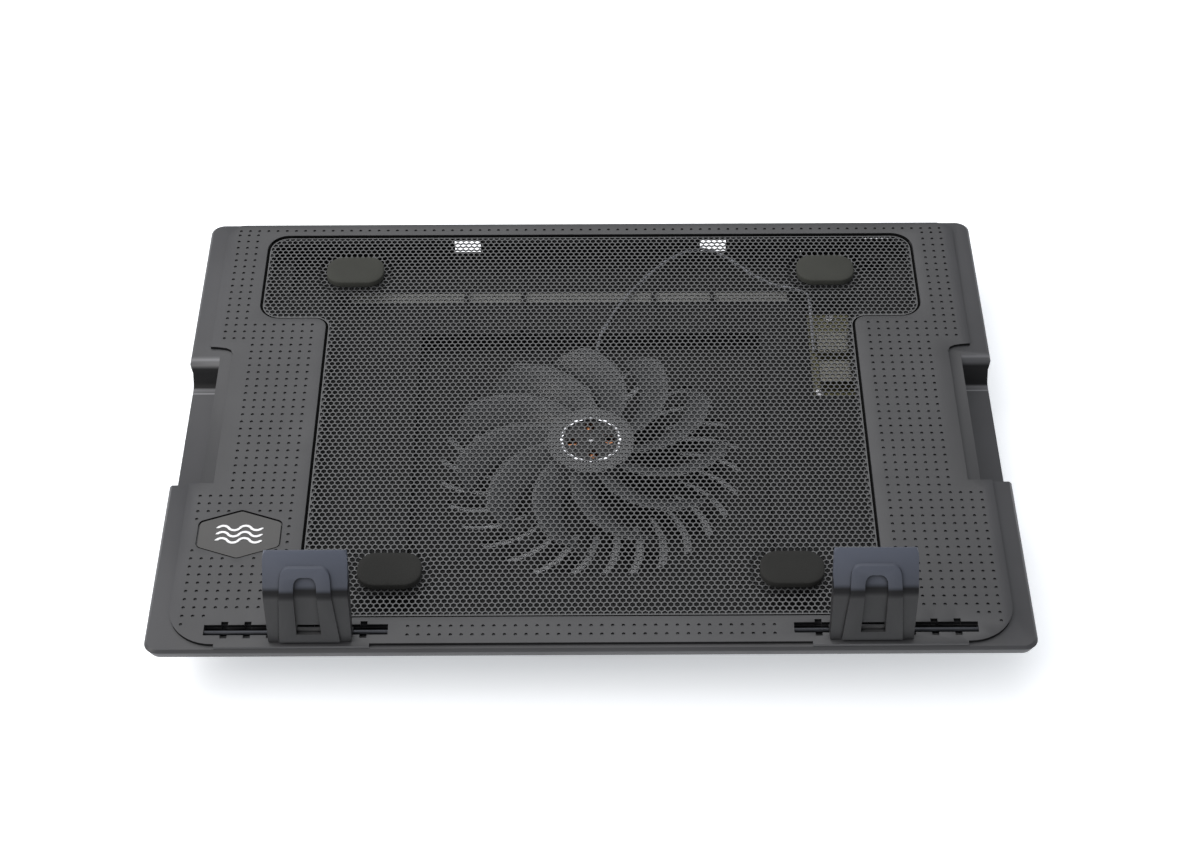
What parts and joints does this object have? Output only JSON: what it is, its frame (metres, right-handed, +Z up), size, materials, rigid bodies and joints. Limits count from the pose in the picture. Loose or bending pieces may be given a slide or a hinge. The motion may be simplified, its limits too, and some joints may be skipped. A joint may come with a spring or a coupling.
{
  "type": "laptop cooling pad",
  "caption": "Laptop stand with a perforated metal deck over one large fan, sliding fold-back stoppers, rubber pads and a tilting base with a folding leg.",
  "frame": {"origin": "centre of the footprint on the table, folded flat", "axes": "+X to the right across both wings, +Y to the rear, +Z up out of the deck"},
  "size_m": [0.38, 0.272, 0.0729],
  "materials": {
    "base_plastic": "satin moulded plastic",
    "foot_rubber": "matte rubber",
    "pin_steel": "bright steel",
    "deck_plastic": "satin moulded plastic with a fine grain",
    "mesh_steel": "black powder coat, semi-gloss",
    "tray_plastic": "satin moulded plastic",
    "screw_steel": "zinc-plated steel",
    "badge_black": "smooth, slightly glossy",
    "badge_white": "printed white",
    "pad_foam": "matte dense foam rubber",
    "stopper_plastic": "semi-gloss",
    "rod_steel": "dark steel",
    "sleeve_plastic": "plain",
    "motor_plastic": "plain",
    "core_steel": "laminated steel",
    "coil_copper": "enamelled copper wire",
    "bearing_bronze": "sintered bronze",
    "rotor_smoke": "translucent smoke grey",
    "yoke_steel": "bright plated steel",
    "cap_black": "plain",
    "wire_grey": "plain insulation",
    "board_resin": "solder-masked resin board",
    "shell_steel": "bright tin plate",
    "tongue_white": "plain",
    "switch_black": "plain",
    "slider_white": "plain",
    "leg_plastic": "satin moulded plastic"
  },
  "bodies": {
    "base": {"base_frame": "base_plastic", "base_foot_front_left": "foot_rubber", "base_foot_front_right": "foot_rubber", "base_foot_rear_left": "foot_rubber", "base_foot_rear_right": "foot_rubber", "hinge_pin_left": "pin_steel", "hinge_pin_right": "pin_steel"},
    "deck": {"deck": "deck_plastic", "mesh_panel": "mesh_steel", "tray": "tray_plastic", "tray_screws": "screw_steel", "badge_plate": "badge_black", "badge_mark": "badge_white", "pad_front_left": "pad_foam", "pad_front_right": "pad_foam", "pad_rear_left": "pad_foam", "pad_rear_right": "pad_foam", "stopper_rod_left": "rod_steel", "stopper_rod_right": "rod_steel", "motor_base": "motor_plastic", "motor_screws": "screw_steel", "stator_core": "core_steel", "motor_coils": "coil_copper", "fan_bearing": "bearing_bronze", "fan_wire": "wire_grey", "usb_board": "board_resin", "board_screws": "screw_steel", "usb_socket_rear": "shell_steel", "usb_socket_front": "shell_steel", "usb_tongues": "tongue_white", "switch_body": "switch_black", "power_inlet": "shell_steel", "leg_pin_left": "pin_steel", "leg_pin_right": "pin_steel"},
    "left_runner": {"stopper_sleeve_left": "sleeve_plastic"},
    "right_runner": {"stopper_sleeve_right": "sleeve_plastic"},
    "left_stopper": {"stopper_left": "stopper_plastic"},
    "right_stopper": {"stopper_right": "stopper_plastic"},
    "rotor": {"fan_hub": "rotor_smoke", "fan_blades": "rotor_smoke", "rotor_yoke": "yoke_steel", "rotor_cap": "cap_black", "fan_shaft": "pin_steel"},
    "switch": {"switch_slider": "slider_white"},
    "leg": {"support_leg": "leg_plastic"}
  },
  "joints": [
    {"name": "deck_tilt", "type": "hinge", "parent": "base", "child": "deck", "pos_m": [0, -0.114, 0.014], "axis": [1, 0, 0], "range_deg": [0, 35]},
    {"name": "leg_fold", "type": "hinge", "parent": "deck", "child": "leg", "pos_m": [0, -0.014, 0.014], "axis": [1, 0, 0], "range_deg": [-70, 0]},
    {"name": "fan_spin", "type": "hinge", "parent": "deck", "child": "rotor", "pos_m": [0, -0.012, 0.02], "axis": [0, 0, 1], "continuous": true},
    {"name": "left_stopper_slide", "type": "slide", "parent": "deck", "child": "left_runner", "axis": [1, 0, 0], "range_m": [-0.027, 0.0146]},
    {"name": "left_stopper_fold", "type": "hinge", "parent": "left_runner", "child": "left_stopper", "pos_m": [-0.119, -0.1255, 0.0298], "axis": [1, 0, 0], "range_deg": [-66, 0]},
    {"name": "right_stopper_slide", "type": "slide", "parent": "deck", "child": "right_runner", "axis": [1, 0, 0], "range_m": [-0.0146, 0.027]},
    {"name": "right_stopper_fold", "type": "hinge", "parent": "right_runner", "child": "right_stopper", "pos_m": [0.119, -0.1255, 0.0298], "axis": [1, 0, 0], "range_deg": [-66, 0]},
    {"name": "switch_slide", "type": "slide", "parent": "deck", "child": "switch", "axis": [1, 0, 0], "range_m": [0, 0.003]}
  ],
  "couplings": [
    {"joint": "leg_fold", "follows": "deck_tilt", "ratio": -2}
  ]
}
